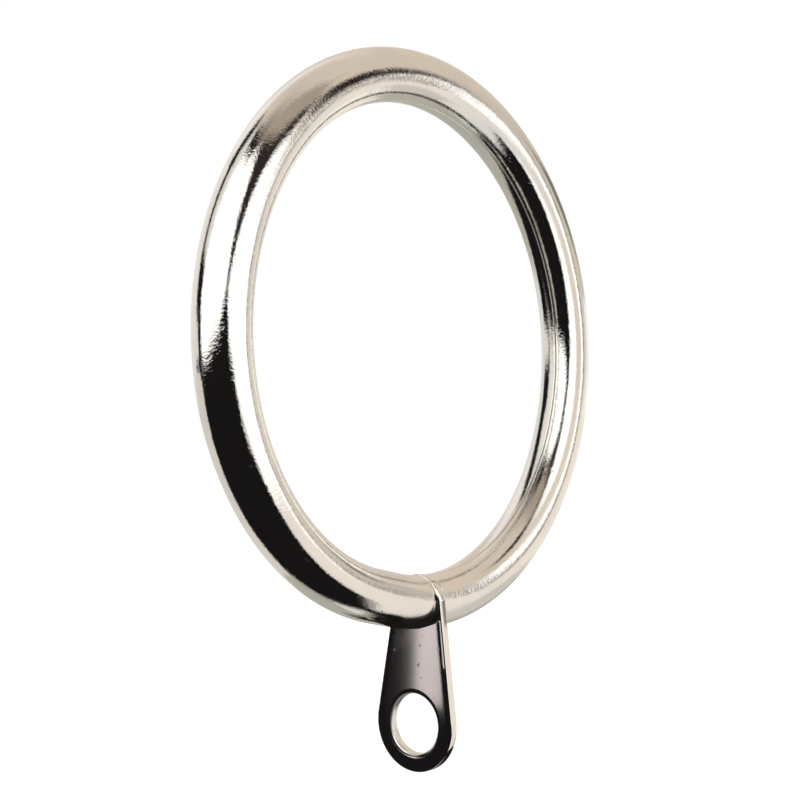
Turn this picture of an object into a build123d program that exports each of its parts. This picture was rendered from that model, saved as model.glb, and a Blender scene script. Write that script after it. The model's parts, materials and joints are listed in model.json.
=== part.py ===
"""Eyelet curtain ring: a rolled steel tube closed into a ring on a stamped eyelet tab.

Millimetres. The origin is the centre of the ring, the ring's axis is Y, and the tab hangs down along -Z.
"""
import os
from math import cos, radians, sin

from build123d import *

# Ring
ring_inner_diameter = 38.0  # clear opening across the round part
tube_diameter = 4.3
tube_wall = 0.5
seam_gap = 0.1  # open butt seam of the rolled strip
seam_turn = 9.0  # degrees round the tube from the ring's innermost line, towards -Y

# Closed side of the ring, pressed a little inside the true circle
press_depth = 0.7
press_reach = 65.0  # degrees to each side over which the press fades out
press_lean = 12.0  # degrees that the middle of the press lies round from the tab, towards -X

# Tab
tab_sheet = 0.8
tab_head_rim = 0.3  # how far the head stands proud of the tube
tab_edge_radius = 0.12  # stamped edges, rounded by tumbling and plating
eyelet_diameter = 4.7
eyelet_rim = 1.45  # metal left around the eyelet
eyelet_entry_radius = 0.25  # the punch draws the edge in where it enters, on the -X face
eyelet_drop = 9.65  # centre of the tube at the joint to centre of the eyelet

# Sizes that follow
tube_radius = tube_diameter / 2
ring_radius = ring_inner_diameter / 2 + tube_radius
shoulder_radius = ring_radius - press_depth / (1 - cos(radians(press_reach)))
flat_half_length = (ring_radius - shoulder_radius) * sin(radians(press_reach))
press_level = press_depth - ring_radius
tab_face = tab_sheet / 2
tab_head_radius = tube_radius + tab_head_rim
tab_end_radius = eyelet_diameter / 2 + eyelet_rim
weld_leg = tab_head_rim - tab_edge_radius  # fills the step between the tube and the flat of the tab's head

# Centre line of the tube: a flat, a shoulder arc, the true circle and the other shoulder arc, all tangent
press_plane = Plane.XZ.rotated((0, press_lean, 0))
with BuildLine(press_plane) as centre_line:
    flat = Line((-flat_half_length, press_level), (flat_half_length, press_level))
    first_shoulder = JernArc(flat @ 1, flat % 1, shoulder_radius, press_reach)
    round_part = JernArc(first_shoulder @ 1, first_shoulder % 1, ring_radius, 360 - 2 * press_reach)
    last_shoulder = JernArc(round_part @ 1, round_part % 1, shoulder_radius, press_reach)

# The tube is cut where the tab's middle plane crosses the centre line
joint_height = centre_line.wire().intersect(Plane.YZ).vertices().sort_by(Axis.Z)[0].Z
joint_plane = Plane.XZ.shift_origin((0, 0, joint_height))
eyelet_centre = (0, joint_height - eyelet_drop)

with BuildPart() as ring_tube:
    # Thin-walled tube with its seam on the inner side of the ring
    with BuildSketch(Plane(flat @ 0, x_dir=press_plane.y_dir, z_dir=flat % 0)):
        Circle(tube_radius)
        Circle(tube_radius - tube_wall, mode=Mode.SUBTRACT)
        with PolarLocations(tube_radius - tube_wall / 2, 1, start_angle=seam_turn):
            Rectangle(2 * tube_wall, seam_gap, mode=Mode.SUBTRACT)
    sweep(path=centre_line.wire())
    # Weld fillet round each tube end, rooted in the tube's wall
    with BuildSketch(joint_plane):
        with BuildLine():
            root = tube_radius - tube_wall / 2
            crown = tube_radius + weld_leg
            hollow = CenterArc((tab_face + weld_leg, crown), weld_leg, 180, 90)
            Polyline(hollow @ 1, (tab_face + 2 * weld_leg, root), (0, root), (0, crown), hollow @ 0)
        make_face()
        mirror(about=Plane.YZ)
    revolve(axis=Axis(joint_plane.origin, (1, 0, 0)))
    # Room for the tab between the two ends
    with Locations(joint_plane.origin):
        Box(tab_sheet, 2 * tab_head_radius, 2 * tab_head_radius, mode=Mode.SUBTRACT)
ring_tube.part.label = "ring_tube"

with BuildPart() as eyelet_tab:
    with BuildSketch(Plane.YZ):
        with Locations((0, joint_height)):
            Circle(tab_head_radius)
        with Locations(eyelet_centre):
            Circle(tab_end_radius)
        make_hull()
        with Locations(eyelet_centre):
            Circle(eyelet_diameter / 2, mode=Mode.SUBTRACT)
    extrude(amount=tab_face, both=True)
    entry_edge = eyelet_tab.faces().sort_by(Axis.X)[0].inner_wires().edges()
    fillet(eyelet_tab.faces().filter_by(Axis.X).edges() - entry_edge, tab_edge_radius)
    fillet(eyelet_tab.faces().sort_by(Axis.X)[0].inner_wires().edges(), eyelet_entry_radius)
eyelet_tab.part.label = "eyelet_tab"

os.makedirs("parts", exist_ok=True)
export_step(ring_tube.part, "parts/ring_tube.step")
export_step(eyelet_tab.part, "parts/eyelet_tab.step")
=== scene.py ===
import json
from math import asin, cos, degrees, hypot, pi, radians, sin

import bmesh
import bpy
from mathutils import Matrix, Vector


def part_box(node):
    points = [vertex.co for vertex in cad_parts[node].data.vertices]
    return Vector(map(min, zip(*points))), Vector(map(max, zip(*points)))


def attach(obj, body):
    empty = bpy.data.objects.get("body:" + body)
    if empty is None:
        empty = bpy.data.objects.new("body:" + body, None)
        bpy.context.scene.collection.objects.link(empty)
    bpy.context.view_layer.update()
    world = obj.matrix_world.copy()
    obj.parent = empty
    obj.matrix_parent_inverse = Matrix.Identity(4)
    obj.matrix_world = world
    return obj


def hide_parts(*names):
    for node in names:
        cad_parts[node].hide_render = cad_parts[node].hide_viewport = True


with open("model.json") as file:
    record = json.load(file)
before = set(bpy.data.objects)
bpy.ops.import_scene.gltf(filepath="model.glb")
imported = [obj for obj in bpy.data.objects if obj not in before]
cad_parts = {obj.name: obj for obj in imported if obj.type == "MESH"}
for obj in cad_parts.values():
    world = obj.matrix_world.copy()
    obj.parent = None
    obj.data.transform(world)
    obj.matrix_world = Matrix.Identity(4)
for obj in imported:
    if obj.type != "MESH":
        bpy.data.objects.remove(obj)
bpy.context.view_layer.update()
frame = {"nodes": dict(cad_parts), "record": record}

mounts = {mount["name"]: mount for mount in frame["record"]["mounts"]}
ringAxis = Vector((0, 1, 0))
mergeDistance = 1e-7
print("frame loaded:", sorted(frame["nodes"]))


# small helpers for working in edit mode

def deselectAll():
    if bpy.context.mode != "OBJECT":
        bpy.ops.object.mode_set(mode="OBJECT")
    bpy.ops.object.select_all(action="DESELECT")


def pickVerts(piece, test, border=False):  # selects the vertices whose place passes the test
    bm = bmesh.from_edit_mesh(piece.data)
    for vert in bm.verts:
        vert.select = test(vert.co) and (vert.is_boundary or not border)
    bm.select_mode = {"VERT"}
    bm.select_flush_mode()
    bmesh.update_edit_mesh(piece.data)


def pickNearest(piece, *points):  # selects the vertex nearest to each point
    bm = bmesh.from_edit_mesh(piece.data)
    bpy.ops.mesh.select_all(action="DESELECT")
    for point in points:
        nearest = min(bm.verts, key=lambda vert: (vert.co - point).length_squared)
        nearest.select = True
    bm.select_flush_mode()
    bmesh.update_edit_mesh(piece.data)


def finishMesh(piece, smoothAngle):
    bpy.ops.mesh.select_all(action="SELECT")
    bpy.ops.mesh.remove_doubles(threshold=mergeDistance)
    bpy.ops.mesh.normals_make_consistent(inside=False)
    bpy.ops.object.mode_set(mode="OBJECT")
    bpy.ops.object.shade_smooth_by_angle(angle=radians(smoothAngle))
    bpy.ops.object.modifier_add(type="WEIGHTED_NORMAL")   # flat faces stay flat beside their rounded edges
    weighted = piece.modifiers[-1]
    weighted.keep_sharp = True
    bpy.ops.object.modifier_apply(modifier=weighted.name)
    print(piece.name, "modelled:", len(piece.data.polygons), "faces")


# centre line of the tube: a true circle, pressed in at the foot by two tighter arcs and a short flat

ringForm = {
    "innerDiameter": 0.038,
    "tubeDiameter": 0.0043,
    "wall": 0.0005,
    "seamGap": 0.00004,      # the plating has drawn the gap in
    "seamTurn": 9,           # degrees round the tube from the ring's innermost line, towards -Y
    "seamRound": 0.00008,    # rolled edges of the strip
    "seamSegments": 4,
    "seamFlat": 0.00006,     # the closing rolls leave the seam side a little flat
    "seamFlatReach": 0.0016,
    "seamFlatCore": 1 / 3,   # share of that reach that moves as one
    "pressDepth": 0.0007,
    "pressReach": 65,        # degrees to each side
    "pressLean": 12,         # degrees from the tab, towards -X
    "flatSteps": 8,
    "endOverlap": 0.00025,   # the ends start inside the tab's sheet and are trimmed at its faces
    "endReach": 0.004,       # how far from the tab a vertex counts as part of an end
    "weldLeg": 0.00018,
    "weldCentre": (0.3, 0.7),   # in tube radii from the joint: the fillet grows away from here
    "weldRows": 6,
    "rowTolerance": 9e-7,
    "tubeSides": 96,
    "boreSides": 40,
    "degreesPerStep": 0.8,
    "smoothAngle": 50,
}

tubeRadius = ringForm["tubeDiameter"] / 2
ringRadius = ringForm["innerDiameter"] / 2 + tubeRadius
reach = radians(ringForm["pressReach"])
lean = radians(ringForm["pressLean"])
shoulderRadius = ringRadius - ringForm["pressDepth"] / (1 - cos(reach))
shoulderShift = ringRadius - shoulderRadius
flatLength = 2 * shoulderShift * sin(reach)
tabLow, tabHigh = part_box("eyelet_tab")
sheetHalf = tabHigh[0]


def spoke(angle):  # direction from a centre, measured from straight down towards +X
    return Vector((sin(angle), 0, -cos(angle)))


shoulderCentre = {
    "right": shoulderShift * spoke(reach - lean),
    "left": shoulderShift * spoke(-reach - lean),
}
jointTilt = asin(-shoulderCentre["right"].x / shoulderRadius)
joint = shoulderCentre["right"] + shoulderRadius * spoke(jointTilt)
print("joint at", [round(1000 * value, 3) for value in joint], "mm")


def drawSection(startAngle):  # the open tube section: two circles joined at the seam
    centre = shoulderCentre["right"] + shoulderRadius * spoke(startAngle)
    along = Vector((cos(startAngle), 0, sin(startAngle)))
    seamTurn = radians(ringForm["seamTurn"])
    seamWay = -spoke(startAngle) * cos(seamTurn) - ringAxis * sin(seamTurn)
    seamSide = along.cross(seamWay)
    circles = ((ringForm["tubeSides"], tubeRadius), (ringForm["boreSides"], tubeRadius - ringForm["wall"]))
    deselectAll()
    for sides, radius in circles:
        toVertex = Matrix.Rotation(pi / sides, 3, along) @ seamWay
        turn = Matrix((toVertex.cross(along), toVertex, along)).transposed().to_euler()
        bpy.ops.mesh.primitive_circle_add(vertices=sides, radius=radius, location=centre, rotation=turn)
        if bpy.context.mode == "OBJECT":
            ring = bpy.context.object
            ring.name = "ring"
            bpy.ops.object.transform_apply(location=True, rotation=True, scale=True)
            bpy.ops.object.mode_set(mode="EDIT")

    # the seam's edges are opened and pulled to the gap
    corners = []
    for sides, radius in circles:
        halfChord = seamSide * radius * sin(pi / sides)
        middle = centre + seamWay * radius * cos(pi / sides)
        pickNearest(ring, middle - halfChord, middle + halfChord)
        bpy.ops.mesh.delete(type="EDGE_FACE")
        pickNearest(ring, middle - halfChord, middle + halfChord)
        narrow = ringForm["seamGap"] / (2 * halfChord.length)
        bpy.ops.transform.resize(value=(narrow,) * 3, center_override=middle)
        corners.append([middle + seamSide * side * ringForm["seamGap"] / 2 for side in (-1, 1)])
    for outerCorner, boreCorner in zip(*corners):
        pickNearest(ring, outerCorner, boreCorner)
        bpy.ops.mesh.edge_face_add()
    pickNearest(ring, *corners[0])
    bpy.ops.mesh.bevel(affect="VERTICES", offset=ringForm["seamRound"], segments=ringForm["seamSegments"])

    # the flat beside the seam fades out round the tube
    top = centre + seamWay * tubeRadius
    core = ringForm["seamFlatReach"] * ringForm["seamFlatCore"]
    pickVerts(ring, lambda place: (place - top).length < core)
    bpy.ops.transform.translate(value=-seamWay * ringForm["seamFlat"], use_proportional_edit=True,
                                proportional_edit_falloff="SMOOTH",
                                proportional_size=ringForm["seamFlatReach"])
    return ring


def carrySection(angle, centre):
    steps = max(2, round(degrees(angle) / ringForm["degreesPerStep"]))
    bpy.ops.mesh.spin(steps=steps, angle=angle, center=centre, axis=ringAxis)


def closeEnd(ring, side):  # trims a tube end at the tab's face, draws the weld fillet round it and caps it
    face = side * sheetHalf
    rows = ringForm["weldRows"]
    leg = ringForm["weldLeg"]
    growY, growZ = (share * tubeRadius for share in ringForm["weldCentre"])

    def nearEnd(place):
        return 0 < side * place.x < ringForm["endReach"] and place.z < joint.z / 2

    def onRow(place, x):
        return nearEnd(place) and abs(place.x - x) < ringForm["rowTolerance"]

    def onOutside(place):
        return hypot(place.y, place.z - joint.z) > tubeRadius - ringForm["wall"] / 2

    pickVerts(ring, nearEnd)
    bpy.ops.mesh.bisect(plane_co=(face, 0, 0), plane_no=(side, 0, 0), clear_inner=True)
    for row in range(rows + 1):
        turn = row / rows * pi / 2
        x = face + side * leg * (1 - sin(turn))
        if row < rows:
            pickVerts(ring, nearEnd)
            bpy.ops.mesh.bisect(plane_co=(x, 0, 0), plane_no=(side, 0, 0))
        grow = 1 + leg * (1 - cos(turn)) / tubeRadius
        pickVerts(ring, lambda place: onRow(place, x) and onOutside(place))
        bpy.ops.transform.resize(value=(1, grow, grow), center_override=(x, growY, joint.z + growZ))
    pickVerts(ring, nearEnd)
    bpy.ops.mesh.fill_holes(sides=0)   # one face on the open border, whatever its number of sides


def modelRing():
    overlapAngle = ringForm["endOverlap"] / shoulderRadius
    startAngle = jointTilt + overlapAngle
    ring = drawSection(startAngle)
    bpy.ops.mesh.select_all(action="SELECT")
    carrySection(reach - lean - startAngle, shoulderCentre["right"])
    carrySection(2 * pi - 2 * reach, (0, 0, 0))
    carrySection(reach, shoulderCentre["left"])
    flatSteps = ringForm["flatSteps"]
    flatWay = Vector((cos(lean), 0, -sin(lean)))
    for step in range(flatSteps):
        bpy.ops.mesh.extrude_edges_move(TRANSFORM_OT_translate={"value": flatWay * flatLength / flatSteps})
    carrySection(jointTilt + lean - overlapAngle, shoulderCentre["right"])
    closeEnd(ring, 1)
    closeEnd(ring, -1)
    finishMesh(ring, ringForm["smoothAngle"])
    return ring


ring = modelRing()
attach(ring, "root")
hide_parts("ring_tube")


# eyelet tab: a stamped sheet tag, two circles drawn into one outline, with the eyelet pierced through

tabForm = {
    "outlineSides": 132,
    "eyeletSides": 96,
    "rollWidth": 0.0005,     # the stamping die draws the edge of the -X face down
    "rollDepth": 0.00002,
    "rollRows": 4,
    "flatMargin": 0.0002,    # keeps the flat of the sheet flat beside its rolled edges
    "headShift": (-0.0001, -0.00022),   # the head sits a little low and forward, flush with the tube on top
    "headTrim": 0.00005,
    "edgeRound": 0.00012,
    "edgeSegments": 4,
    "lipRound": 0.00025,     # the punch draws the eyelet's edge in on the -X face
    "lipSegments": 8,
    "skew": 1.2,             # degrees that the weld has turned the tab in its plane
    "pickMargin": 0.01,      # vertices are picked to within this share of a size
    "sharpAngle": 60,
    "smoothAngle": 40,
}


def modelTab():
    eyelet = Vector(mounts["eyelet"]["pos_m"])
    eyeletRadius = mounts["eyelet"]["dims"]["r_mm"] / 1000
    endRadius = eyelet.z - tabLow[2]
    headRadius = tabHigh[2] - joint.z - tabForm["headTrim"]
    start = Vector((-sheetHalf, 0, eyelet.z))
    facing = (0, pi / 2, 0)

    deselectAll()
    bpy.ops.mesh.primitive_circle_add(vertices=tabForm["outlineSides"], radius=endRadius, location=start,
                                      rotation=facing, fill_type="NGON")
    tab = bpy.context.object
    tab.name = "eyeletTab"
    bpy.ops.object.transform_apply(location=True, rotation=True, scale=True)
    bpy.ops.object.mode_set(mode="EDIT")

    # the upper part of the outline becomes the head, so the sides run straight between the two circles
    drop = joint.z - eyelet.z
    tangent = (endRadius - headRadius) / drop * endRadius
    pickVerts(tab, lambda place: place.z - eyelet.z > tangent)
    headScale = headRadius / endRadius
    bpy.ops.transform.resize(value=(1, headScale, headScale), center_override=start)
    forward, lower = tabForm["headShift"]
    bpy.ops.transform.translate(value=(0, forward, drop + lower))

    # rows along the edge, each raised a little more than the one outside it
    bpy.ops.mesh.select_all(action="SELECT")
    rows = tabForm["rollRows"]
    bpy.ops.transform.translate(value=(tabForm["rollDepth"], 0, 0))
    for row in range(rows):
        bpy.ops.mesh.inset(thickness=tabForm["rollWidth"] / rows, depth=0)
        rise = tabForm["rollDepth"] * (((rows - row) / rows) ** 2 - ((rows - row - 1) / rows) ** 2)
        bpy.ops.transform.translate(value=(-rise, 0, 0))
    bpy.ops.mesh.inset(thickness=tabForm["flatMargin"], depth=0)
    bpy.ops.mesh.delete(type="ONLY_FACE")

    # the eyelet, inside a flat margin of its own
    outside = eyeletRadius + tabForm["lipRound"] + tabForm["flatMargin"]
    bpy.ops.mesh.primitive_circle_add(vertices=tabForm["eyeletSides"], radius=outside, location=start,
                                      rotation=facing)
    bpy.ops.mesh.extrude_edges_move()
    narrow = eyeletRadius / outside
    bpy.ops.transform.resize(value=(1, narrow, narrow), center_override=start)

    def onMargin(place):
        onFlat = place.x + sheetHalf < tabForm["rollDepth"] * tabForm["pickMargin"]
        return onFlat and (place - start).length > (outside + eyeletRadius) / 2

    pickVerts(tab, onMargin, border=True)
    bpy.ops.mesh.bridge_edge_loops()

    # sheet thickness, with a flat back
    bpy.ops.mesh.select_all(action="SELECT")
    bpy.ops.mesh.extrude_region_move(TRANSFORM_OT_translate={"value": (2 * sheetHalf, 0, 0)})
    bpy.ops.transform.resize(value=(0, 1, 1), center_override=(sheetHalf, 0, 0))
    onLip = eyeletRadius * (1 + tabForm["pickMargin"])
    pickVerts(tab, lambda place: place.x < 0 and (place - start).length < onLip)
    bpy.ops.mesh.bevel(affect="EDGES", offset=tabForm["lipRound"], segments=tabForm["lipSegments"])
    bpy.ops.mesh.select_all(action="DESELECT")
    bpy.ops.mesh.select_mode(type="EDGE")
    bpy.ops.mesh.edges_select_sharp(sharpness=radians(tabForm["sharpAngle"]))
    bpy.ops.mesh.bevel(affect="EDGES", offset=tabForm["edgeRound"], segments=tabForm["edgeSegments"])
    bpy.ops.mesh.select_mode(type="VERT")
    bpy.ops.mesh.select_all(action="SELECT")
    bpy.ops.transform.rotate(value=-radians(tabForm["skew"]), orient_axis="X", center_override=joint)
    finishMesh(tab, tabForm["smoothAngle"])
    return tab


tab = modelTab()
skewTurn = Matrix.Rotation(radians(tabForm["skew"]), 3, "X")
punchCentre = joint + skewTurn @ (Vector(mounts["eyelet"]["pos_m"]) - joint)
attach(tab, "root")
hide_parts("eyelet_tab")


# short ways to place shader nodes

def addNode(tree, kind, **settings):
    node = tree.nodes.new("ShaderNode" + kind)
    for name, value in settings.items():
        setattr(node, name, value)
    return node


def feed(tree, socket, value):  # a link from another node, or a plain value
    if isinstance(value, bpy.types.NodeSocket):
        tree.links.new(value, socket)
    else:
        socket.default_value = value


def mathNode(tree, operation, *values):
    node = addNode(tree, "Math", operation=operation)
    for socket, value in zip(node.inputs, values):
        feed(tree, socket, value)
    return node.outputs[0]


def vectorNode(tree, operation, first, second=None):
    node = addNode(tree, "VectorMath", operation=operation)
    feed(tree, node.inputs[0], first)
    if second is not None:
        feed(tree, node.inputs["Scale" if operation == "SCALE" else 1], second)
    return node.outputs["Value" if operation in ("LENGTH", "DISTANCE", "DOT_PRODUCT") else "Vector"]


def splitNode(tree, vector):
    node = addNode(tree, "SeparateXYZ")
    feed(tree, node.inputs[0], vector)
    return node.outputs


def joinNode(tree, *parts):
    node = addNode(tree, "CombineXYZ")
    for socket, part in zip(node.inputs, parts):
        feed(tree, socket, part)
    return node.outputs[0]


def noiseNode(tree, vector, scale, detail=2.0, roughness=0.5, w=None):
    node = addNode(tree, "TexNoise", noise_dimensions="3D" if w is None else "4D")
    feed(tree, node.inputs["Vector"], vector)
    if w is not None:
        feed(tree, node.inputs["W"], w)
    feed(tree, node.inputs["Scale"], scale)
    node.inputs["Detail"].default_value = detail
    node.inputs["Roughness"].default_value = roughness
    return node.outputs[0]


def rampNode(tree, value, low, high, toLow=0.0, toHigh=1.0):
    node = addNode(tree, "MapRange", interpolation_type="SMOOTHSTEP")
    for name, number in (("From Min", low), ("From Max", high), ("To Min", toLow), ("To Max", toHigh)):
        node.inputs[name].default_value = number
    feed(tree, node.inputs["Value"], value)
    return node.outputs[0]


def mixNode(tree, share, *colours):  # a plain colour is given without its alpha
    node = addNode(tree, "MixRGB")
    feed(tree, node.inputs[0], share)
    for socket, colour in zip(node.inputs[1:], colours):
        feed(tree, socket, (*colour, 1) if isinstance(colour, tuple) else colour)
    return node.outputs[0]


# shared effect: the plating's skin, with orange peel, haze and pin-head pits

plating = {
    "peelScale": 6000,       # marks to the metre, as for the other scales
    "pitScale": 1500,
    "pitRange": (0.72, 0.78),
    "pitDepth": 8e-5,        # for a haze of 1
    "pitBlur": 4.0,
    "hazeScale": 260,
    "hazeRange": (0.42, 0.72),
    "toneScale": 140,
    "toneRange": (0.35, 0.65),
    "warmTone": (0.84, 0.79, 0.72),
    "greyTone": (0.78, 0.75, 0.71),
}


def platingSkin():
    group = bpy.data.node_groups.new("platingSkin", "ShaderNodeTree")
    for name, kind in (("Place", "Vector"), ("Peel Depth", "Float"), ("Blur", "Float"), ("Haze", "Float")):
        group.interface.new_socket(name, in_out="INPUT", socket_type="NodeSocket" + kind)
    for name, kind in (("Tone", "Color"), ("Roughness", "Float"), ("Height", "Float")):
        group.interface.new_socket(name, in_out="OUTPUT", socket_type="NodeSocket" + kind)
    given = group.nodes.new("NodeGroupInput")
    result = group.nodes.new("NodeGroupOutput")
    place = given.outputs["Place"]

    peel = noiseNode(group, place, plating["peelScale"], detail=2.0, roughness=0.6)
    peel = mathNode(group, "SUBTRACT", peel, 0.5)
    pits = rampNode(group, noiseNode(group, place, plating["pitScale"], detail=1.0), *plating["pitRange"])
    height = mathNode(group, "MULTIPLY", peel, given.outputs["Peel Depth"])
    pits = mathNode(group, "MULTIPLY", pits, given.outputs["Haze"])
    height = mathNode(group, "SUBTRACT", height, mathNode(group, "MULTIPLY", pits, plating["pitDepth"]))
    feed(group, result.inputs["Height"], height)

    haze = noiseNode(group, place, plating["hazeScale"], detail=4.0, roughness=0.65)
    haze = rampNode(group, haze, *plating["hazeRange"])
    haze = mathNode(group, "MULTIPLY", haze, given.outputs["Haze"])
    rough = mathNode(group, "ADD", haze, given.outputs["Blur"])
    rough = mathNode(group, "ADD", rough, mathNode(group, "MULTIPLY", pits, plating["pitBlur"]))
    feed(group, result.inputs["Roughness"], rough)

    patches = noiseNode(group, place, plating["toneScale"], detail=3.0)
    patches = rampNode(group, patches, *plating["toneRange"])
    tone = mixNode(group, patches, plating["warmTone"], plating["greyTone"])
    feed(group, result.inputs["Tone"], tone)
    return group


skinGroup = platingSkin()


def startMaterial(name):
    material = bpy.data.materials.new(name)
    material.use_nodes = True
    tree = material.node_tree
    shader = tree.nodes["Principled BSDF"]
    shader.inputs["Metallic"].default_value = 1.0
    return material, tree, shader


def skinNode(tree, place, finish):
    node = addNode(tree, "Group", node_tree=skinGroup)
    feed(tree, node.inputs["Place"], place)
    node.inputs["Peel Depth"].default_value = finish["peelDepth"]
    node.inputs["Blur"].default_value = finish["blur"]
    node.inputs["Haze"].default_value = finish["haze"]
    return node


def bumpNode(tree, shader, height):  # heights are in metres
    bump = addNode(tree, "Bump")
    bump.inputs["Strength"].default_value = 1.0
    bump.inputs["Distance"].default_value = 1.0
    feed(tree, bump.inputs["Height"], height)
    feed(tree, shader.inputs["Normal"], bump.outputs["Normal"])


# ring finish: bright nickel over a drawn and buffed tube

tubeFinish = {
    "peelDepth": 1.0e-5,
    "blur": 0.03,
    "haze": 0.05,
    "hairDepth": 6.0e-6,     # buffing hairs across the tube
    "hairWidth": 0.00012,
    "hairLength": 0.00025,
    "drawDepth": 1.2e-6,     # draw lines along the tube
    "drawWidth": 0.00007,
    "drawLength": 0.012,
    "waveDepth": 2.0e-5,     # slow ripple left by the bending
    "waveWidth": 0.0022,
    "weldReach": (0.0024, 0.0062),   # the weld's heat has dulled and wrinkled the tube this far round it
    "weldDepth": 3.0e-5,
    "weldWidth": 0.0010,
    "weldBlur": 0.14,
}


def tubeNickel():
    material, tree, shader = startMaterial("tubeNickel")
    place = addNode(tree, "TexCoord").outputs["Object"]
    x, y, z = splitNode(tree, place)

    # direction round the ring and place in the tube's section, so patterns close on themselves
    inPlane = joinNode(tree, x, z)
    fromAxis = vectorNode(tree, "LENGTH", inPlane)
    roundRing = vectorNode(tree, "SCALE", inPlane, mathNode(tree, "DIVIDE", 1.0, fromAxis))
    inTube = mathNode(tree, "SUBTRACT", fromAxis, ringRadius)

    def marks(alongSize, acrossSize, detail):
        along = splitNode(tree, vectorNode(tree, "SCALE", roundRing, ringRadius / alongSize))
        spot = joinNode(tree, along[0], along[1], mathNode(tree, "DIVIDE", inTube, acrossSize))
        noise = noiseNode(tree, spot, 1.0, detail, w=mathNode(tree, "DIVIDE", y, acrossSize))
        return mathNode(tree, "SUBTRACT", noise, 0.5)

    hairs = marks(tubeFinish["hairWidth"], tubeFinish["hairLength"], detail=2.0)
    drawLines = marks(tubeFinish["drawLength"], tubeFinish["drawWidth"], detail=1.0)
    wave = marks(tubeFinish["waveWidth"], tubeFinish["waveWidth"], detail=1.0)
    skin = skinNode(tree, place, tubeFinish)
    height = skin.outputs["Height"]
    for layer, depth in ((hairs, "hairDepth"), (drawLines, "drawDepth"), (wave, "waveDepth")):
        height = mathNode(tree, "ADD", height, mathNode(tree, "MULTIPLY", layer, tubeFinish[depth]))

    # dulled and wrinkled round the weld
    heat = rampNode(tree, vectorNode(tree, "DISTANCE", place, joint), *tubeFinish["weldReach"], 1.0, 0.0)
    wrinkle = mathNode(tree, "SUBTRACT", noiseNode(tree, place, 1 / tubeFinish["weldWidth"]), 0.5)
    wrinkle = mathNode(tree, "MULTIPLY", wrinkle, mathNode(tree, "MULTIPLY", heat, tubeFinish["weldDepth"]))
    height = mathNode(tree, "ADD", height, wrinkle)
    dull = mathNode(tree, "MULTIPLY", heat, tubeFinish["weldBlur"])
    rough = mathNode(tree, "ADD", skin.outputs["Roughness"], dull)
    feed(tree, shader.inputs["Base Color"], skin.outputs["Tone"])
    feed(tree, shader.inputs["Roughness"], rough)
    bumpNode(tree, shader, height)
    return material


# tab finish: the same plating over rolled sheet, duller where the eyelet was punched

sheetFinish = {
    "peelDepth": 5.0e-8,
    "blur": 0.05,
    "haze": 0.012,
    "punchReach": (0.00005, 0.0002),   # beyond the eyelet's edge
    "punchBlur": 0.3,
}


def sheetNickel():
    material, tree, shader = startMaterial("sheetNickel")
    place = addNode(tree, "TexCoord").outputs["Object"]
    skin = skinNode(tree, place, sheetFinish)
    away = vectorNode(tree, "DISTANCE", vectorNode(tree, "MULTIPLY", place, (0, 1, 1)), punchCentre)
    punchRadius = mounts["eyelet"]["dims"]["r_mm"] / 1000
    near, far = (punchRadius + step for step in sheetFinish["punchReach"])
    punched = rampNode(tree, away, near, far, sheetFinish["punchBlur"], 0.0)
    feed(tree, shader.inputs["Base Color"], skin.outputs["Tone"])
    feed(tree, shader.inputs["Roughness"], mathNode(tree, "ADD", skin.outputs["Roughness"], punched))
    bumpNode(tree, shader, skin.outputs["Height"])
    return material


ring.data.materials.append(tubeNickel())
tab.data.materials.append(sheetNickel())
print("finishes ready")


# studio: white floor and surround, soft boxes and dark flags that only reflections see

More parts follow.
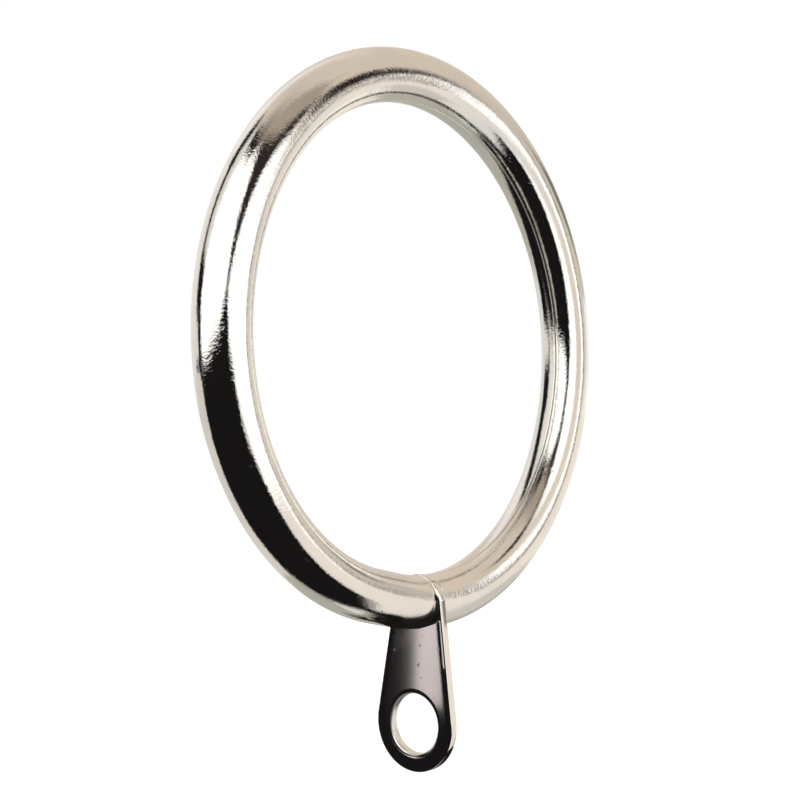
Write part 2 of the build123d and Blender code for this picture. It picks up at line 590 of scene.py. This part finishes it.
studio = {
    "floorHeight": -0.075,
    "floorSize": 6.0,
    "floorColour": (0.95, 0.95, 0.95),
    "floorLift": 0.36,       # brings the lit floor up to white for the camera, and leaves its shadow
    "surround": (0.86, 0.86, 0.86),
    "surroundLow": (0.98, 0.93, 0.87),    # the warm side, from level downwards
    "surroundHigh": (0.70, 0.64, 0.57),   # the warm side, higher up
    "surroundRise": (0.0, 0.16),          # sines of the heights between which the one turns into the other
    "surroundTurn": 100,     # where the surround is warmest, degrees from +Y towards +X
    "surroundSpread": (0.3, 0.85),        # cosines from there, between which the warm side comes in
    "boxColour": (1.38, 1.4, 1.42),
    "ceilingColour": (0.76, 0.67, 0.58),
    "ceilingDark": (0.24, 0.20, 0.18),   # above the camera
    "ceilingBack": (1.0, 0.98, 0.97),
    "flagColour": (0.010, 0.0095, 0.010),
    "sideColour": (0.85, 0.84, 0.82),
    "dropColour": (0.92, 0.91, 0.87),
    "rimColour": (0.76, 0.74, 0.70),
    "rightColour": (1.1, 1.08, 1.02),
    "lowColour": (0.70, 0.68, 0.65),
    "bandColour": (0.030, 0.022, 0.022),
    "backColour": (0.5, 0.5, 0.45),
    "roomColour": (0.84, 0.77, 0.69),
    "brownColour": (0.45, 0.385, 0.32),
    "stripColour": (0.28, 0.25, 0.22),
    "edgeColour": (0.20, 0.20, 0.19),
    "tabCardColour": (0.84, 0.78, 0.80),
    # the right box and the dark gap round it stand close before the ring, on a leaning panel
    "panelDistance": 0.060,
    "panelTurn": -5,
    "panelLean": 20,
    "panelGap": 0.002,
    "brownGap": 0.004,
    "rightBox": ((-0.036, -0.0337), (-0.036, 0.0125), (-0.026, 0.0190), (-0.013, 0.0220), (-0.005, 0.0215),
                 (-0.005, -0.066)),
    # its left end runs off to a far point, and its right part folds in towards the ring
    "rightEnd": ((-0.0313, -0.0554, 0.0313), (-0.0300, -0.0708, -0.0111), (-0.084, -0.116, 0.030)),
    "rightFold": ((-0.0007, -0.0492, 0.0407), (0.0042, -0.0445, 0.0365), (0.010, -0.039, 0.0305),
                  (0.015, -0.0348, 0.020), (0.0195, -0.031, 0.010), (0.0195, -0.031, -0.009),
                  (0.0135, -0.042, -0.016), (0.0019, -0.0791, -0.0415)),
    "darkBand": ((-0.063, -0.006), (-0.052, 0.028), (-0.049, 0.058), (-0.072, 0.105), (-0.064, 0.105),
                 (-0.038, 0.062), (-0.022, 0.040), (-0.005, 0.033), (0.010, 0.031), (0.010, -0.010),
                 (-0.030, -0.010), (-0.036, 0.0115)),
    "brownCard": ((-0.040, 0.030), (0.012, 0.020), (0.012, 0.050), (-0.020, 0.095), (-0.060, 0.095)),
    # strips that stand upright to the right of the fold: distance, heights, and each one's sides
    "stripDistance": 0.0755,
    "stripHeights": (-0.02, 0.03),
    "whiteStrip": (0.058, 0.084),
    "darkStrip": (0.088, 0.106),
    # walls, column by column: degrees from +Y towards +X, lower and upper edge in degrees, distance
    "leftBox": ((-137, 16, 43, 0.088), (-132, 9.5, 50, 0.092), (-118, 1.3, 56, 0.105),
                (-100, -2, 53.5, 0.105), (-80, -6.2, 56.5, 0.105), (-68, -7.2, 52, 0.105),
                (-60, -5, 30, 0.105)),
    "darkWall": ((200, -12, 50, 6.5), (215, -12, 60, 6.5), (240, -12, 66, 6.5), (270, -12, 70, 6.5),
                 (300, -12, 71, 6.5), (322, -14, 66, 6.5), (323, 6, 66, 6.5), (352, 6, 60, 6.5)),
    "bandEnd": ((149, 22, 34, 0.057), (142, 13, 29, 0.057), (137, 11, 27, 0.057), (132, 10, 25, 0.057),
                (128, 6, 20, 0.057), (124, 4, 14, 0.057)),
    "bandEndFrom": (-0.008, -0.002, 0.0195),   # the top of the ring, where this wall is measured from
    "edgeCard": ((84, 10, 20, 4.0), (98, 12, 20, 4.0), (112, 13, 19, 4.0)),
    "roomCard": ((148, -12, 38, 5.0), (165, -12, 38, 5.0), (183, -12, 38, 5.0)),
    "sideCard": ((-76, 41, 50, 4.0), (-62, 22, 58, 4.0), (-57, 22, 65, 4.0), (-44, 22, 66.5, 4.0),
                 (-31, 24, 64, 4.0)),
    "tabCard": ((-51.6, -10.9, -5, 4.0), (-50.4, -10.9, -5, 4.0)),
    "backCard": ((-5, -62, -12, 4.0), (15, -80, -9, 4.0), (30, -84, 2, 4.0), (58, -84, 2, 4.0),
                 (66, -60, -14, 4.0), (80, -50, -17, 4.0)),
    "lowCard": ((64, -45, -15, 4.0), (80, -45, -16, 4.0), (100, -45, -18, 4.0), (116, -45, -17, 4.0)),
    # flat cards close to the ring: the axis they stand square to, where on it, and their corners
    "backDrop": ("y", 0.0135, ((-0.0305, 0.0), (0.0065, 0.0), (0.0085, 0.003), (0.0065, 0.006),
                               (0.0025, 0.010), (-0.001, 0.0155), (-0.005, 0.019), (-0.024, 0.0225),
                               (-0.0255, 0.0177), (-0.029, 0.007))),
    "rimCard": ("y", 0.006, ((-0.027, -0.004), (-0.023, -0.004), (-0.019, -0.008), (-0.015, -0.012),
                             (-0.013, -0.016), (-0.009, -0.019), (-0.008, -0.0215), (-0.013, -0.022),
                             (-0.0135, -0.028), (-0.016, -0.028), (-0.022, -0.018), (-0.025, -0.012),
                             (-0.028, -0.006))),
    "rightCard": ("x", 0.059, ((-0.016, -0.006), (0.012, -0.006), (0.012, 0.010), (-0.016, 0.010))),
    "footFlag": ("z", -0.05, ((0.010, -0.012), (0.03, -0.012), (0.03, 0.02), (0.010, 0.02))),
    "lowFlag": ("z", -0.04, ((-0.016, 0.012), (-0.0105, 0.006), (-0.005, 0.001), (0.004, -0.006),
                             (0.008, -0.015), (0.0155, -0.026), (0.0155, -0.031), (0.006, -0.035),
                             (0.0005, -0.060), (-0.002, -0.082), (-0.018, -0.102), (-0.034, -0.104),
                             (-0.036, -0.060), (-0.020, -0.020))),
    "ceilingHeight": 8.0,
    "ceilingReach": 2.0,     # the rest of the ceiling is given in shares of its height
    "ceilingCentre": 0.5,
    "ceilingTurn": -112,
    "ceilingSpread": 0.65,
    "ceilingFade": (0.8, 1.25),
    "ceilingWarm": (0.2, 0.7),
    # the dark floor in front, in shares of its depth: away from the camera and to its right
    "floorFlagDepth": 1.5,
    "floorFlag": ((6.4, -13.3), (1.09, -1.73), (0.55, -0.64), (-0.1, 0.36), (-0.15, 1.0), (-1.0, 1.0),
                  (-13.3, 12.1), (-13.3, -13.3)),
}


def glowMaterial(name, colour):
    material = bpy.data.materials.new(name)
    material.use_nodes = True
    tree = material.node_tree
    tree.nodes.remove(tree.nodes["Principled BSDF"])
    glow = addNode(tree, "Emission")
    glow.inputs["Color"].default_value = (*colour, 1)
    feed(tree, tree.nodes["Material Output"].inputs["Surface"], glow.outputs[0])
    return material


def ceilingMaterial(centre):  # darkest above the camera, warm on the right, white at the back
    height = studio["ceilingHeight"]
    material = glowMaterial("ceiling", studio["ceilingColour"])
    tree = material.node_tree
    place = addNode(tree, "TexCoord").outputs["Object"]
    away = vectorNode(tree, "DISTANCE", place, centre)
    toWarm = vectorNode(tree, "DOT_PRODUCT", place, lookPlace(studio["surroundTurn"], 0, 1 / height))
    notWarm = rampNode(tree, toWarm, *studio["ceilingWarm"], 1.0, 0.0)
    edge = rampNode(tree, away, *(share * height for share in studio["ceilingFade"]))
    spread = rampNode(tree, away, 0, studio["ceilingSpread"] * height)
    middle = mixNode(tree, spread, studio["ceilingDark"], studio["ceilingColour"])
    colour = mixNode(tree, mathNode(tree, "MULTIPLY", edge, notWarm), middle, studio["ceilingBack"])
    feed(tree, tree.nodes["Emission"].inputs["Color"], colour)
    return material


def dressCard(name, places, material):  # puts the new mesh's corners in place; only reflections see it
    card = bpy.context.object
    card.name = name
    for vert, spot in zip(card.data.vertices, places):
        vert.co = spot
    card.data.materials.append(material)
    card.visible_camera = False
    card.visible_diffuse = False
    card.visible_shadow = False


def addCard(name, places, material):
    deselectAll()
    bpy.ops.mesh.primitive_circle_add(vertices=len(places), radius=1, fill_type="NGON")
    dressCard(name, places, material)


def lookPlace(azimuth, elevation, distance):
    turn = radians(azimuth)
    rise = radians(elevation)
    return distance * Vector((sin(turn) * cos(rise), cos(turn) * cos(rise), sin(rise)))


def addFloor():
    deselectAll()
    bpy.ops.mesh.primitive_plane_add(size=studio["floorSize"], location=(0, 0, studio["floorHeight"]))
    floor = bpy.context.object
    floor.name = "floor"
    material = bpy.data.materials.new("floorWhite")
    material.use_nodes = True
    tree = material.node_tree
    shader = tree.nodes["Principled BSDF"]
    shader.inputs["Base Color"].default_value = (*studio["floorColour"], 1)
    shader.inputs["Roughness"].default_value = 1.0
    shader.inputs["Specular IOR Level"].default_value = 0.0
    shader.inputs["Emission Color"].default_value = (1, 1, 1, 1)
    seen = addNode(tree, "LightPath").outputs["Is Camera Ray"]
    lift = mathNode(tree, "MULTIPLY", seen, studio["floorLift"])
    feed(tree, shader.inputs["Emission Strength"], lift)
    floor.data.materials.append(material)
    floor.visible_glossy = False   # the metal shows the cards and the surround instead


def addWall(name, colour, origin=(0, 0, 0)):
    columns = studio[name]
    deselectAll()
    bpy.ops.mesh.primitive_grid_add(x_subdivisions=len(columns) - 1, y_subdivisions=1)
    lower = [lookPlace(azimuth, low, distance) for azimuth, low, high, distance in columns]
    upper = [lookPlace(azimuth, high, distance) for azimuth, low, high, distance in columns]
    places = [Vector(origin) + place for place in lower + upper]
    dressCard(name, places, glowMaterial(name, studio[colour]))


def addPanelCard(name, colour, setBack):
    toRing = lookPlace(studio["panelTurn"], -studio["panelLean"], 1)
    across = lookPlace(studio["panelTurn"] + 90, 0, 1)
    up = across.cross(toRing)
    foot = -toRing * (studio["panelDistance"] + setBack)
    places = [foot + across * a + up * b for a, b in studio[name]]
    addCard(name, places, glowMaterial(name, studio[colour]))


def addStrip(name, colour):
    low, high = studio["stripHeights"]
    left, right = studio[name]
    corners = ((left, low), (right, low), (right, high), (left, high))
    places = [Vector((x, -studio["stripDistance"], z)) for x, z in corners]
    addCard(name, places, glowMaterial(name, studio[colour]))


def addFlatCard(name, colour):
    axis, stand, corners = studio[name]
    places = []
    for corner in corners:
        place = list(corner)
        place.insert("xyz".index(axis), stand)
        places.append(place)
    addCard(name, places, glowMaterial(name, studio[colour]))


def addCards():
    addPanelCard("rightBox", "boxColour", 0)
    for name in ("rightEnd", "rightFold"):
        addCard(name, studio[name], glowMaterial(name, studio["boxColour"]))
    addFlatCard("backDrop", "dropColour")
    addFlatCard("rimCard", "rimColour")
    addFlatCard("rightCard", "rightColour")
    addFlatCard("footFlag", "flagColour")
    addFlatCard("lowFlag", "flagColour")
    addPanelCard("darkBand", "bandColour", studio["panelGap"])
    addPanelCard("brownCard", "brownColour", studio["brownGap"])
    addStrip("whiteStrip", "boxColour")
    addStrip("darkStrip", "stripColour")
    addWall("bandEnd", "bandColour", studio["bandEndFrom"])
    addWall("edgeCard", "edgeColour")
    addWall("roomCard", "roomColour")
    addWall("leftBox", "boxColour")
    addWall("darkWall", "flagColour")
    addWall("sideCard", "sideColour")
    addWall("tabCard", "tabCardColour")
    addWall("backCard", "backColour")
    addWall("lowCard", "lowColour")

    height = studio["ceilingHeight"]
    above = Vector((0, 0, height))
    centre = above + lookPlace(studio["ceilingTurn"], 0, studio["ceilingCentre"] * height)
    far = studio["ceilingReach"] * height
    square = ((-far, -far), (far, -far), (far, far), (-far, far))
    addCard("ceiling", [above + Vector((*corner, 0)) for corner in square], ceilingMaterial(centre))

    ahead = Vector((*camera["forward"][:2], 0)).normalized()
    side = Vector((ahead.y, -ahead.x, 0))
    depth = studio["floorFlagDepth"]
    below = Vector((0, 0, -depth))
    places = [below + (ahead * away + side * right) * depth for away, right in studio["floorFlag"]]
    addCard("floorFlag", places, glowMaterial("floorFlag", studio["flagColour"]))


def lightSurround():
    world = bpy.data.worlds.new("whiteSurround")
    bpy.context.scene.world = world
    world.use_nodes = True
    tree = world.node_tree
    background = tree.nodes["Background"]
    path = addNode(tree, "LightPath")
    seen = mathNode(tree, "MAXIMUM", path.outputs["Is Camera Ray"], path.outputs["Is Transmission Ray"])
    look = addNode(tree, "TexCoord").outputs["Generated"]
    toWarm = vectorNode(tree, "DOT_PRODUCT", look, lookPlace(studio["surroundTurn"], 0, 1))
    rise = rampNode(tree, splitNode(tree, look)[2], *studio["surroundRise"])
    warm = mixNode(tree, rise, studio["surroundLow"], studio["surroundHigh"])
    room = mixNode(tree, rampNode(tree, toWarm, *studio["surroundSpread"]), studio["surround"], warm)
    feed(tree, background.inputs["Color"], mixNode(tree, seen, room, (1, 1, 1)))


# camera at the photograph's place

camera = {
    "place": (-0.08666, -0.07136, -0.00820),
    "forward": (0.7632, 0.6454, 0.0319),
    "sensor": 36,
    "focalLength": 1404.7,   # of the photograph, in pixels
    "imageWidth": 800,
    "clipStart": 0.001,
}


def placeCamera():
    data = bpy.data.cameras.new("camera")
    data.sensor_fit = "HORIZONTAL"
    data.sensor_width = camera["sensor"]
    data.lens = camera["sensor"] * camera["focalLength"] / camera["imageWidth"]
    data.clip_start = camera["clipStart"]
    holder = bpy.data.objects.new("camera", data)
    bpy.context.scene.collection.objects.link(holder)
    holder.location = camera["place"]
    holder.rotation_euler = Vector(camera["forward"]).to_track_quat("-Z", "Y").to_euler()
    bpy.context.scene.camera = holder


placeCamera()
addFloor()
addCards()
lightSurround()
print("studio set up")
bpy.context.scene.view_settings.view_transform = "Standard"
